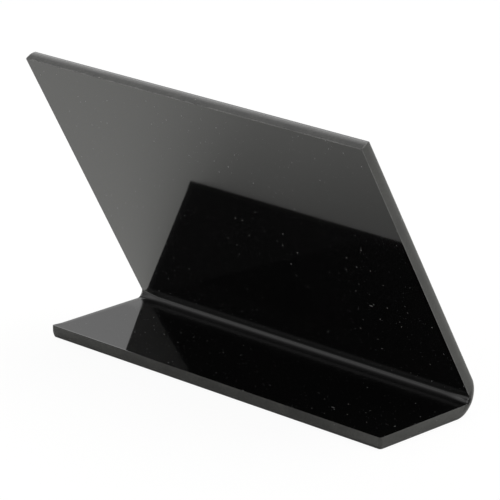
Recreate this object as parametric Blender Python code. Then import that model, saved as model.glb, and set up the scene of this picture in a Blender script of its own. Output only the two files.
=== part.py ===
"""Table chalkboard sign: one black acrylic sheet, heated along a line and bent once to an acute angle.

The short arm lies flat as the foot and the long arm leans back over it as the board, so that its
outer face, towards -Y, is the one that is written on. X runs along the bend, Z is up, and the origin
is at the middle of the sheet's box, on the surface that the foot stands on. All lengths are in metres.
"""

import math

import bmesh
import bpy
from mathutils import Vector

# Driving dimensions
SHEET_WIDTH = 0.105
SHEET_THICKNESS = 0.003
BOARD_LENGTH = 0.0764  # inner face, from where the two inner faces would meet to the top edge
FOOT_LENGTH = 0.0302  # inner face, from the same line to the free edge
BEND_ANGLE = math.radians(61.0)  # between the two inner faces
BEND_INNER_RADIUS = 0.0017
BEND_WALL = 0.0022  # thickness left at the middle of the bend, where the sheet is drawn thin
BEND_FLARE = 0.0005  # how far the squeezed inner side of the bend swells past each cut end
BEND_DRAW = 0.0003  # how far the stretched outer side of the bend draws in from each cut end
OUTER_EASE = 0.0006  # rounding of the cut edges round the outer face
INNER_EASE = 0.0002  # rounding of the cut edges round the inner face, and of the sheet's four corners

# Fineness of the mesh
BEND_STEPS = 24
EASE_STEPS = 3
SHARP_EDGE = math.radians(40)

# Finish
ACRYLIC_BLACK = (0.006, 0.006, 0.006, 1.0)
ACRYLIC_ROUGHNESS = 0.04
ACRYLIC_IOR = 1.49


def clear_scene():
    for obj in list(bpy.data.objects):
        bpy.data.objects.remove(obj, do_unlink=True)


def acrylic_material():
    material = bpy.data.materials.new("black_acrylic")
    material.use_nodes = True
    shader = material.node_tree.nodes["Principled BSDF"]
    shader.inputs["Base Color"].default_value = ACRYLIC_BLACK
    shader.inputs["Roughness"].default_value = ACRYLIC_ROUGHNESS
    shader.inputs["Metallic"].default_value = 0.0
    shader.inputs["IOR"].default_value = ACRYLIC_IOR
    return material


def bend_outer_radius():
    """The radius that leaves BEND_WALL between the two faces at the middle of the bend."""
    reach = 1 / math.sin(BEND_ANGLE / 2)
    return BEND_INNER_RADIUS + (SHEET_THICKNESS * reach - BEND_WALL) / (reach - 1)


def sheet_sections():
    """Inner point, outer point and share of the full flare and draw at each section.

    They run from the foot's free edge to the board's top edge. The points lie in the YZ plane, and are
    measured from the line where the inner faces would meet.
    """
    outer_radius = bend_outer_radius()
    tangent = 1 / math.tan(BEND_ANGLE / 2)
    inner_centre = Vector((0, BEND_INNER_RADIUS * tangent, BEND_INNER_RADIUS))
    outer_height = outer_radius - SHEET_THICKNESS
    outer_centre = Vector((0, outer_height * tangent, outer_height))
    board_way = Vector((0, math.cos(BEND_ANGLE), math.sin(BEND_ANGLE)))
    board_out = Vector((0, -math.sin(BEND_ANGLE), math.cos(BEND_ANGLE)))

    foot_end = Vector((0, FOOT_LENGTH, 0))
    sections = [(foot_end, foot_end - Vector((0, 0, SHEET_THICKNESS)), 0.0)]
    for step in range(BEND_STEPS + 1):
        share = step / BEND_STEPS
        turn = share * (math.pi - BEND_ANGLE)
        out = Vector((0, -math.sin(turn), -math.cos(turn)))
        inner = inner_centre + BEND_INNER_RADIUS * out
        outer = outer_centre + outer_radius * out
        sections.append((inner, outer, math.sin(math.pi * share)))
    board_end = BOARD_LENGTH * board_way
    sections.append((board_end, board_end + SHEET_THICKNESS * board_out, 0.0))
    return sections


def ring(mesh, inner, outer, strain):
    """The four corners of the sheet at one section, in order round it."""
    inner_end = Vector((SHEET_WIDTH / 2 + BEND_FLARE * strain, 0, 0))
    outer_end = Vector((SHEET_WIDTH / 2 - BEND_DRAW * strain, 0, 0))
    corners = (outer + outer_end, outer - outer_end, inner - inner_end, inner + inner_end)
    return [mesh.verts.new(corner) for corner in corners]


def cut_edges(faces):
    """The sharp edges of the faces, each once and in the order of the faces."""
    sharp = [edge for face in faces for edge in face.edges if edge.calc_face_angle() > SHARP_EDGE]
    return list(dict.fromkeys(sharp))


def round_edges(mesh, edges, radius):
    """Rounds the edges, at most to a third of the thinnest wall."""
    width = min(radius, BEND_WALL / 3, SHEET_THICKNESS / 3)
    bmesh.ops.bevel(mesh, geom=edges, offset=width, segments=EASE_STEPS, profile=0.5, affect="EDGES")


def stand_on_origin(mesh):
    """Moves the sheet so that it stands on Z = 0 with the middle of its box over the origin."""
    low = min(vert.co.y for vert in mesh.verts)
    high = max(vert.co.y for vert in mesh.verts)
    bottom = min(vert.co.z for vert in mesh.verts)
    bmesh.ops.translate(mesh, vec=(0, -(low + high) / 2, -bottom), verts=mesh.verts)


def bent_sheet():
    mesh = bmesh.new()
    rings = [ring(mesh, *section) for section in sheet_sections()]
    mesh.faces.new(rings[0])
    mesh.faces.new(rings[-1])
    outer_faces = []
    for before, after in zip(rings, rings[1:]):
        for side in range(4):
            following = (side + 1) % 4
            face = mesh.faces.new((before[side], before[following], after[following], after[side]))
            if side == 0:
                outer_faces.append(face)
    bmesh.ops.recalc_face_normals(mesh, faces=mesh.faces)
    round_edges(mesh, cut_edges(outer_faces), OUTER_EASE)
    round_edges(mesh, cut_edges(mesh.faces), INNER_EASE)
    stand_on_origin(mesh)

    data = bpy.data.meshes.new("chalkboard_sheet")
    mesh.to_mesh(data)
    mesh.free()
    data.shade_smooth()
    data.set_sharp_from_angle(angle=SHARP_EDGE)
    data.materials.append(acrylic_material())
    sheet = bpy.data.objects.new("chalkboard_sheet", data)
    bpy.context.scene.collection.objects.link(sheet)
    return sheet


def main():
    clear_scene()
    bent_sheet()


main()
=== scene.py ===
import math
from collections import namedtuple

import bmesh
import bpy
from mathutils import Matrix, Vector


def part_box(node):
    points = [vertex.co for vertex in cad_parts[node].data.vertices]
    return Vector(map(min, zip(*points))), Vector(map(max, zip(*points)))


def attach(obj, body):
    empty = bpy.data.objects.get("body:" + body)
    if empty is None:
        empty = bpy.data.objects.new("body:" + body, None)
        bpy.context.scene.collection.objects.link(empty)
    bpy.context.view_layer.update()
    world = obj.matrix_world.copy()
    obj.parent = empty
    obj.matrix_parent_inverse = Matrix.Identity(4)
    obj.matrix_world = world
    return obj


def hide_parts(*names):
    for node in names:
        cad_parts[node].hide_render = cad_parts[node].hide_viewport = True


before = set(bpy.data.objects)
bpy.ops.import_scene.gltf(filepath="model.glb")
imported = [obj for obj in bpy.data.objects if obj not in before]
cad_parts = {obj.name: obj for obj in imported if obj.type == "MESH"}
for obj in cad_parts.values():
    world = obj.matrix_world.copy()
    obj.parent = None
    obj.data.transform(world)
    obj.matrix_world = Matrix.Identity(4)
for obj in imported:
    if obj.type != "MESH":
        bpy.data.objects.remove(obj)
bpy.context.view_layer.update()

NODE = "chalkboard_sheet"

# The sheet, in metres, as the part has it
SHEET_WIDTH = 0.105
SHEET_THICKNESS = 0.003
BOARD_LENGTH = 0.0764
FOOT_LENGTH = 0.0302
BEND_ANGLE = math.radians(61.0)
BEND_INNER_RADIUS = 0.0017
BEND_WALL = 0.0022
BEND_FLARE = 0.0005
BEND_DRAW = 0.0003

# The inside of the bend: tighter than the part has it, and swollen next to its two ends
BEND_TIGHT_RADIUS = 0.0013
SWELL_RISE = 0.00035
SWELL_REACH = 0.007
SQUEEZE_POWER = 1.5  # gathers the swelling and the lip in the middle of the bend

# What differs between the sheet's ends, with the end towards +X first
FOOT_CORNERS = (0.0004, 0.0007)  # radius, seen flat
BOARD_CORNERS = (0.0002, 0.0002)
FOOT_SPREADS = (0.0004, 0.0)  # how far the foot is spread past the sheet's width
FOOT_ROLLS = (0.00018, 0.0)  # how far it rolls off towards its rim
END_CROWNS_BACK = (0.00015, 0.00035)  # how far back the crown of the cut edge goes
ROLL_REACH = 0.0018  # in from the rim
ROLL_START = 0.003  # from the free edge: where the roll-off has come to its full depth
ROLL_FADE = 6  # the power by which spread and roll-off end in the bend

# Cut edges at the inner face: an arc, with a lip in its place at the ends of the bend
FREE_ARC_BACK = 0.0002  # from the free edges
FOOT_ARC_BACK = 0.0001  # from the ends of the foot
FOOT_ARC_DEEP = 0.00006
BOARD_ARC_BACK = 0.00006  # from the ends of the board
BOARD_ARC_DEEP = 0.0002
LIP_BACK = 0.0012
LIP_DEEP = 0.0008

# Cut edges at the outer face: a crown, with an eased rim beyond it
CROWN_ACROSS = 0.0017
FREE_CROWN_BACK = 0.0004  # from the free edges
BEND_CROWN_BACK = 0.0002  # from the ends of the bend
RIM_EASE = 0.0001

# Fineness of the mesh
BEND_STEPS = 96
CORNER_STEPS = 8
SWELL_STEPS = 8
SWELL_LEAST = 0.00005  # the reach that is left where nothing swells
ARC_STEPS = 8
CROWN_STEPS = 6
FLOOR_SIDES = 64

# Finish, with the order of the three materials on the sheet
POLISHED, CUT, WORN_AND_SHEEN = range(3)
RIM_STRIPS = 3  # of a cut edge, next to the outer face and polished with it
ACRYLIC_IOR = 1.53
ACRYLIC_BLACK = (0.001, 0.001, 0.001, 1)
CUT_DARK = (0.0066, 0.0066, 0.0059, 1)
CUT_PALE = (0.0253, 0.0253, 0.0222, 1)
# The board's worn arrises and top corners: real wear, and a paler colour that is partly a painted
# highlight
WORN_AND_SHEEN_DARK = (0.030, 0.030, 0.029, 1)
WORN_AND_SHEEN_PALE = (0.085, 0.085, 0.082, 1)
NICK_GREY = (0.12, 0.12, 0.11, 1)
DUST_GREY = (0.25, 0.25, 0.25, 1)

# Marks: cells to the metre, the share of them that holds a mark, and the largest radius in cells
DUST = (480.0, 0.26, 0.06)
FINE_DUST = (1300.0, 0.12, 0.06)
LINT = (260.0, 0.06, 0.03)
NICKS = (570.0, 0.14, 0.16)
LINT_SLANT = math.radians(35)
LINT_SQUASH = (0.15, 1, 1)  # of the pattern's coordinates, which draws round marks out to hairlines
DRIFT_SCALE = 60.0
DRIFT_LEAST = 0.45  # the coarser dust lies where the drift is above this
MARKS_START = 0.002  # from the corner line, along HALFWAY: the bend itself is left free of marks
MARKS_HEAT = 0.5  # and so is the heated band, from this share of its haze on

# The heated band along the bend
HEATED_SHIFT = 0.004  # of its middle from the corner line, along the foot
HEATED_NEAR = 0.0015  # from its middle: fully hazy within this, clear beyond the next
HEATED_FAR = 0.0055
HEATED_HAZE = 0.13

# Wipe marks on the faces, and grain and patches on the cut edges, with scales to the metre
WIPE_SCALE = 51.0
WIPE_DETAIL = 3.0
WIPE_DISTORTION = 0.6
WIPE_ROUGHNESS = (0.02, 0.07)
GRAIN_SCALE = 1830.0
GRAIN_STRENGTH = 0.25
GRAIN_DEPTH = 0.00003
PATCH_SCALE = 183.0
SCRAPED = (0.12, 0.4)  # grain times patch, where a cut edge is dark and where it is pale
CUT_ROUGHNESS = (0.28, 0.46)

# The camera, solved from the edges of the sheet in the photograph
CAMERA_AIM = Vector((0.0, -0.00079, 0.03077))
CAMERA_DISTANCE = 0.79892
CAMERA_AZIMUTH = math.radians(224.507)
CAMERA_ELEVATION = math.radians(18.301)
CAMERA_ROLL = math.radians(-0.124)
CAMERA_LENS_MM = 253.38
SENSOR_MM = 36.0

# The light of the room
WHITE = (1, 1, 1, 1)
ROOM_LOW = 0.72  # strength low down
ROOM_HIGH = 0.20  # and high up
ROOM_FALL = (0.36, 0.88)  # from the one to the other between these heights, as sines
ROOM_TILT = 0.08  # how much brighter it is towards +Y than level

# Soft glows in it, named as the camera sees them: direction, half angle and strength
BACK_GLOW = (Vector((0.700, -0.400, 0.592)), math.radians(21.5), 1.9)
FRONT_GLOW = (Vector((0.320, 0.770, 0.550)), math.radians(21.0), 2.4)
SIDE_GLOW = (Vector((0.880, 0.390, 0.280)), math.radians(19.0), 3.2)
TOP_GLOW = (Vector((-0.164, -0.260, 0.951)), math.radians(34.4), 4.5)
CAMERA_SHADE = (Vector((-0.667, 0.676, 0.314)), math.radians(25.0), -0.6)  # takes light away

# The floor
FLOOR_RADIUS = 4.0
FLOOR_WHITE = (0.87, 0.87, 0.845, 1)
FLOOR_LIFT = 0.94  # share of plain white in the floor that the camera sees

# What follows from these
BEND_TURN = math.pi - BEND_ANGLE
TANGENT = 1 / math.tan(BEND_ANGLE / 2)
REACH = 1 / math.sin(BEND_ANGLE / 2)
BEND_OUTER_RADIUS = BEND_INNER_RADIUS + (SHEET_THICKNESS * REACH - BEND_WALL) / (REACH - 1)
FOOT_WAY = Vector((0, 1, 0))
BOARD_WAY = Vector((0, math.cos(BEND_ANGLE), math.sin(BEND_ANGLE)))
BOARD_OUT = Vector((0, -math.sin(BEND_ANGLE), math.cos(BEND_ANGLE)))
HALFWAY = (FOOT_WAY + BOARD_WAY).normalized()
QUARTER = math.pi / 2

Section = namedtuple("Section", "inner outer share way corners turn roll")


def between(first, second, share):
    return first + (second - first) * share


def corner_line():
    """Where the two inner faces would meet, in the plane X = 0, from the box of the part's sheet."""
    low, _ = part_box(NODE)
    behind = (BEND_OUTER_RADIUS - SHEET_THICKNESS) * TANGENT - BEND_OUTER_RADIUS
    return Vector((0, low.y - behind, low.z + SHEET_THICKNESS))


def sheet_sections():
    """The sections of the sheet, from the foot's free edge to the board's top edge.

    Each has its inner point, its outer point, its share of the way round the bend, the way to the free
    edge with the radii of the sheet's corners there, the angle reached round these corners, and its
    share of the foot's roll-off.
    """
    corner = corner_line()
    inner_centre = corner + BEND_TIGHT_RADIUS * Vector((0, TANGENT, 1))
    outer_centre = corner + (BEND_OUTER_RADIUS - SHEET_THICKNESS) * Vector((0, TANGENT, 1))
    foot_end = corner + FOOT_LENGTH * FOOT_WAY
    foot_under = foot_end - Vector((0, 0, SHEET_THICKNESS))
    board_end = corner + BOARD_LENGTH * BOARD_WAY
    board_outside = board_end + SHEET_THICKNESS * BOARD_OUT
    turns = [step / CORNER_STEPS * QUARTER for step in range(CORNER_STEPS + 1)]
    nowhere = Vector((0, 0, 0))
    no_corners = (0.0, 0.0)

    sections = []
    for turn in reversed(turns):
        sections.append(Section(foot_end, foot_under, 0.0, FOOT_WAY, FOOT_CORNERS, turn, 0.0))
    back = ROLL_START * FOOT_WAY
    sections.append(Section(foot_end - back, foot_under - back, 0.0, nowhere, no_corners, 0.0, 1.0))
    for step in range(BEND_STEPS + 1):
        share = step / BEND_STEPS
        out = Vector((0, -math.sin(share * BEND_TURN), -math.cos(share * BEND_TURN)))
        inner = inner_centre + BEND_TIGHT_RADIUS * out
        outer = outer_centre + BEND_OUTER_RADIUS * out
        sections.append(Section(inner, outer, share, nowhere, no_corners, 0.0, (1 - share) ** ROLL_FADE))
    for turn in turns:
        sections.append(Section(board_end, board_outside, 1.0, BOARD_WAY, BOARD_CORNERS, turn, 0.0))
    return sections


def edge_profile(thickness, share, end_crown_back, roll, roll_reach):
    """Depth, setback from a free edge and setback from an end of each point across a cut edge.

    The points run from the inner face to the outer one, and depths are below the inner face.
    """
    squeeze = math.sin(math.pi * share) ** SQUEEZE_POWER
    rise = SWELL_RISE * squeeze - roll
    reach = SWELL_LEAST + SWELL_REACH * squeeze + roll_reach
    back = between(between(FOOT_ARC_BACK, BOARD_ARC_BACK, share), LIP_BACK, squeeze)
    deep = between(between(FOOT_ARC_DEEP, BOARD_ARC_DEEP, share), LIP_DEEP, squeeze)
    crown = CROWN_ACROSS * thickness / SHEET_THICKNESS
    end_crown = between(end_crown_back, BEND_CROWN_BACK, squeeze)
    points = []
    for step in range(SWELL_STEPS):
        part = step / SWELL_STEPS
        inward = reach * (1 - part)
        points.append((-rise * part ** 2, FREE_ARC_BACK + inward, back + inward))
    for step in range(ARC_STEPS + 1):
        turn = step / ARC_STEPS * QUARTER
        inward = 1 - math.sin(turn)
        points.append((deep * (1 - math.cos(turn)) - rise, FREE_ARC_BACK * inward, back * inward))
    for step in range(CROWN_STEPS + 1):
        part = step / CROWN_STEPS
        depth = thickness - RIM_EASE - crown * (1 - part)
        points.append((depth, FREE_CROWN_BACK * part ** 2, end_crown * part ** 2))
    points.append((thickness, FREE_CROWN_BACK + RIM_EASE, end_crown + RIM_EASE))
    return points


def section_points(inner, outer, share, way, corners, turn, roll):
    """The two ends of one section, +X first, each from the inner face to the outer one."""
    thickness = (outer - inner).length
    strain = math.sin(math.pi * share)
    ends = []
    for end, towards in enumerate((1, -1)):
        width = SHEET_WIDTH / 2 + FOOT_SPREADS[end] * (1 - share) ** ROLL_FADE
        rolled = (roll * FOOT_ROLLS[end], roll * ROLL_REACH)
        points = []
        profile = edge_profile(thickness, share, END_CROWNS_BACK[end], *rolled)
        for depth, free_setback, end_setback in profile:
            part = depth / thickness
            flare = between(BEND_FLARE, -BEND_DRAW, part) * strain
            along = -free_setback - corners[end] * (1 - math.sin(turn))
            reach = width + flare - end_setback - corners[end] * (1 - math.cos(turn))
            points.append(inner.lerp(outer, part) + along * way + Vector((towards * reach, 0, 0)))
        ends.append(points)
    return ends


def edge_finish(on_board, on_corner):
    """The material of each strip across a cut edge, from the inner face to the outer one."""
    # The board's inner arrises and top corners take the worn material, whose paleness is partly a painted
    # highlight
    arc = WORN_AND_SHEEN if on_board else POLISHED
    edge, rim = (WORN_AND_SHEEN, WORN_AND_SHEEN) if on_board and on_corner else (CUT, POLISHED)
    below_arc = 1 + CROWN_STEPS + 1  # the flat strip, the crown and the eased rim
    crown = (below_arc - RIM_STRIPS) * [edge] + RIM_STRIPS * [rim]
    return SWELL_STEPS * [POLISHED] + ARC_STEPS * [arc] + crown


def close_edge(mesh, first, second, finishes):
    """The strips of a cut edge between two runs of points across it."""
    for depth, finish in enumerate(finishes):
        face = mesh.faces.new((first[depth], first[depth + 1], second[depth + 1], second[depth]))
        face.material_index = finish


def sheet_mesh():
    """The whole sheet: from section to section its two faces and two cut ends, then its free edges."""
    mesh = bmesh.new()
    sections = sheet_sections()
    rings = []
    for section in sections:
        rings.append([[mesh.verts.new(point) for point in side] for side in section_points(*section)])
    for place, (before, after) in enumerate(zip(rings, rings[1:])):
        finishes = edge_finish(sections[place].share == 1.0, sections[place + 1].turn > 0.0)
        for depth in (0, len(finishes)):
            mesh.faces.new((before[0][depth], before[1][depth], after[1][depth], after[0][depth]))
        for first, second in zip(before, after):
            close_edge(mesh, first, second, finishes)
    close_edge(mesh, *rings[0], edge_finish(False, False))
    close_edge(mesh, *rings[-1], edge_finish(True, False))
    bmesh.ops.recalc_face_normals(mesh, faces=mesh.faces)
    data = bpy.data.meshes.new("sheet")
    mesh.to_mesh(data)
    mesh.free()
    data.shade_smooth()
    return data


def build_sheet():
    """The sheet with its materials, in the place of the part's plain one."""
    data = sheet_mesh()
    data.materials.append(polished_acrylic())
    data.materials.append(scraped_acrylic("cut_acrylic", CUT_DARK, CUT_PALE))
    # Worn edges of the board: wear, with a painted highlight in their pale colour
    data.materials.append(scraped_acrylic("worn_and_sheen_acrylic", WORN_AND_SHEEN_DARK, WORN_AND_SHEEN_PALE))
    sheet = bpy.data.objects.new("sheet", data)
    bpy.context.scene.collection.objects.link(sheet)
    flatness = sheet.modifiers.new("flat_faces", "WEIGHTED_NORMAL")
    flatness.mode = "FACE_AREA"
    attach(sheet, "root")
    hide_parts(NODE)


def add_node(tree, kind, sockets=None, **settings):
    """A shader node with its settings, whose sockets take a value or another node's output."""
    made = tree.nodes.new("ShaderNode" + kind)
    for name, value in settings.items():
        setattr(made, name, value)
    for socket, value in (sockets or {}).items():
        if isinstance(value, bpy.types.NodeSocket):
            tree.links.new(value, made.inputs[socket])
        else:
            made.inputs[socket].default_value = value
    return made


def add_range(tree, value, from_low, from_high, to_low, to_high, smooth=False):
    """The output of a node that takes one range of values to another."""
    kind = "SMOOTHSTEP" if smooth else "LINEAR"
    sockets = {0: value, 1: from_low, 2: from_high, 3: to_low, 4: to_high}
    return add_node(tree, "MapRange", sockets, interpolation_type=kind).outputs[0]


def add_maths(tree, operation, first, second):
    return add_node(tree, "Math", {0: first, 1: second}, operation=operation).outputs[0]


def add_vector_maths(tree, operation, first, second):
    """The output of a node that takes two vectors to one value."""
    return add_node(tree, "VectorMath", {0: first, 1: second}, operation=operation).outputs["Value"]


def add_blend(tree, share, first, second):
    """A colour that goes from the first to the second."""
    return add_node(tree, "Mix", {0: share, 6: first, 7: second}, data_type="RGBA").outputs[2]


def add_noise(tree, place, scale, detail=2.0, distortion=0.0):
    sockets = {"Vector": place, "Scale": scale, "Detail": detail, "Distortion": distortion}
    return add_node(tree, "TexNoise", sockets).outputs[0]


def add_specks(tree, place, dimensions, cells_per_metre, share, radius):
    """A mask of round marks: a share of the cells holds one, the largest of the radius in cells."""
    sockets = {"Vector": place, "Scale": cells_per_metre}
    cells = add_node(tree, "TexVoronoi", sockets, voronoi_dimensions=dimensions)
    lot = add_node(tree, "SeparateColor", {0: cells.outputs["Color"]}).outputs[0]
    size = add_range(tree, lot, 1 - share, 1.0, 0.0, radius)
    return add_maths(tree, "LESS_THAN", cells.outputs["Distance"], size)


def new_acrylic(name):
    """A new material, with its tree, its shader and the node output for the place on the sheet."""
    material = bpy.data.materials.new(name)
    material.use_nodes = True
    tree = material.node_tree
    shader = tree.nodes["Principled BSDF"]
    shader.inputs["IOR"].default_value = ACRYLIC_IOR
    place = add_node(tree, "TexCoord").outputs["Object"]
    return material, tree, shader, place


def add_heated(tree, axes):
    """A mask of the heated band: 1 along its middle."""
    beside = add_node(tree, "CombineXYZ", {1: axes.outputs["Y"], 2: axes.outputs["Z"]}).outputs[0]
    middle = corner_line() + HEATED_SHIFT * FOOT_WAY
    away = add_vector_maths(tree, "DISTANCE", beside, middle)
    return add_range(tree, away, HEATED_NEAR, HEATED_FAR, 1.0, 0.0, smooth=True)


def add_marks(tree, place, axes, heated):
    """A mask of the dust and hairlines on the flat faces."""
    along = add_vector_maths(tree, "DOT_PRODUCT", place, HALFWAY)
    plane = add_node(tree, "CombineXYZ", {0: axes.outputs["X"], 1: along}).outputs[0]
    slant = {"Vector": plane, "Rotation": (0, 0, LINT_SLANT), "Scale": LINT_SQUASH}
    slanted = add_node(tree, "Mapping", slant).outputs[0]
    settled = add_maths(tree, "GREATER_THAN", add_noise(tree, place, DRIFT_SCALE), DRIFT_LEAST)
    dust = add_maths(tree, "MULTIPLY", add_specks(tree, plane, "2D", *DUST), settled)
    fine_dust = add_specks(tree, plane, "2D", *FINE_DUST)
    lint = add_specks(tree, slanted, "2D", *LINT)
    marks = add_maths(tree, "MAXIMUM", add_maths(tree, "MAXIMUM", dust, fine_dust), lint)
    cool = add_maths(tree, "LESS_THAN", heated, MARKS_HEAT)
    bend_end = HALFWAY.dot(corner_line()) + MARKS_START
    flat = add_maths(tree, "GREATER_THAN", along, bend_end)
    return add_maths(tree, "MULTIPLY", marks, add_maths(tree, "MULTIPLY", cool, flat))


def polished_acrylic():
    """The two faces and the rims polished with them: deep gloss with wipe marks, dust and heated band."""
    material, tree, shader, place = new_acrylic("black_acrylic")
    axes = add_node(tree, "SeparateXYZ", {0: place})
    heated = add_heated(tree, axes)
    marks = add_marks(tree, place, axes, heated)
    tree.links.new(add_blend(tree, marks, ACRYLIC_BLACK, DUST_GREY), shader.inputs["Base Color"])
    wiped = add_noise(tree, place, WIPE_SCALE, WIPE_DETAIL, WIPE_DISTORTION)
    gloss = add_range(tree, wiped, 0.0, 1.0, *WIPE_ROUGHNESS)
    haze = add_maths(tree, "MULTIPLY", heated, HEATED_HAZE)
    rough = add_maths(tree, "MAXIMUM", add_maths(tree, "ADD", gloss, haze), marks)
    tree.links.new(rough, shader.inputs["Roughness"])
    return material


def scraped_acrylic(name, dark, pale):
    """The sawn and scraped edges: satin, mottled from dark to pale, with small nicks."""
    material, tree, shader, place = new_acrylic(name)
    grain = add_noise(tree, place, GRAIN_SCALE)
    patch = add_noise(tree, place, PATCH_SCALE)
    scraped = add_range(tree, add_maths(tree, "MULTIPLY", grain, patch), *SCRAPED, 0.0, 1.0)
    nicks = add_specks(tree, place, "3D", *NICKS)
    body = add_blend(tree, scraped, dark, pale)
    tree.links.new(add_blend(tree, nicks, body, NICK_GREY), shader.inputs["Base Color"])
    tree.links.new(add_range(tree, patch, 0.0, 1.0, *CUT_ROUGHNESS), shader.inputs["Roughness"])
    relief = {"Height": grain, "Strength": GRAIN_STRENGTH, "Distance": GRAIN_DEPTH}
    tree.links.new(add_node(tree, "Bump", relief).outputs[0], shader.inputs["Normal"])
    return material


def light_room():
    """A pale room with soft glows, and plain white where the camera looks at it."""
    world = bpy.data.worlds.new("room")
    bpy.context.scene.world = world
    world.use_nodes = True
    tree = world.node_tree
    way = add_node(tree, "TexCoord").outputs["Generated"]
    axes = add_node(tree, "SeparateXYZ", {0: way})
    level = add_range(tree, axes.outputs["Z"], *ROOM_FALL, ROOM_LOW, ROOM_HIGH, smooth=True)
    tilt = add_range(tree, axes.outputs["Y"], -1.0, 1.0, 1 - ROOM_TILT, 1 + ROOM_TILT)
    level = add_maths(tree, "MULTIPLY", level, tilt)
    for towards, half_angle, strength in (BACK_GLOW, FRONT_GLOW, SIDE_GLOW, TOP_GLOW, CAMERA_SHADE):
        aim = add_vector_maths(tree, "DOT_PRODUCT", way, towards.normalized())
        glow = add_range(tree, aim, math.cos(half_angle), 1.0, 0.0, strength, smooth=True)
        level = add_maths(tree, "ADD", level, glow)
    room = add_node(tree, "Background", {"Color": WHITE, "Strength": level})
    white = add_node(tree, "Background", {"Color": WHITE})
    seen = add_node(tree, "LightPath").outputs["Is Camera Ray"]
    mix = add_node(tree, "MixShader", {0: seen, 1: room.outputs[0], 2: white.outputs[0]})
    tree.links.new(mix.outputs[0], tree.nodes["World Output"].inputs["Surface"])


def matt_white():
    """The floor's material, lifted to near white for the camera so that a faint shadow is left."""
    material = bpy.data.materials.new("floor")
    material.use_nodes = True
    tree = material.node_tree
    tree.nodes.remove(tree.nodes["Principled BSDF"])
    matt = add_node(tree, "BsdfDiffuse", {"Color": FLOOR_WHITE})
    white = add_node(tree, "Emission")
    seen = add_node(tree, "LightPath").outputs["Is Camera Ray"]
    lift = add_maths(tree, "MULTIPLY", seen, FLOOR_LIFT)
    mix = add_node(tree, "MixShader", {0: lift, 1: matt.outputs[0], 2: white.outputs[0]})
    tree.links.new(mix.outputs[0], tree.nodes["Material Output"].inputs["Surface"])
    return material


def lay_floor():
    mesh = bmesh.new()
    bmesh.ops.create_circle(mesh, cap_ends=True, segments=FLOOR_SIDES, radius=FLOOR_RADIUS)
    data = bpy.data.meshes.new("floor")
    mesh.to_mesh(data)
    mesh.free()
    data.materials.append(matt_white())
    floor = bpy.data.objects.new("floor", data)
    bpy.context.scene.collection.objects.link(floor)


def place_camera():
    data = bpy.data.cameras.new("camera")
    data.sensor_width = SENSOR_MM
    data.lens = CAMERA_LENS_MM
    camera = bpy.data.objects.new("camera", data)
    bpy.context.scene.collection.objects.link(camera)
    flat = math.cos(CAMERA_ELEVATION)
    sideways = Vector((math.sin(CAMERA_AZIMUTH), -math.cos(CAMERA_AZIMUTH), 0))
    back = flat * sideways + Vector((0, 0, math.sin(CAMERA_ELEVATION)))
    turn = (-back).to_track_quat("-Z", "Y").to_matrix().to_4x4()
    stand = Matrix.Translation(CAMERA_AIM + CAMERA_DISTANCE * back)
    camera.matrix_world = stand @ turn @ Matrix.Rotation(CAMERA_ROLL, 4, "Z")
    bpy.context.scene.camera = camera


build_sheet()
lay_floor()
light_room()
place_camera()
bpy.context.scene.view_settings.view_transform = "Standard"
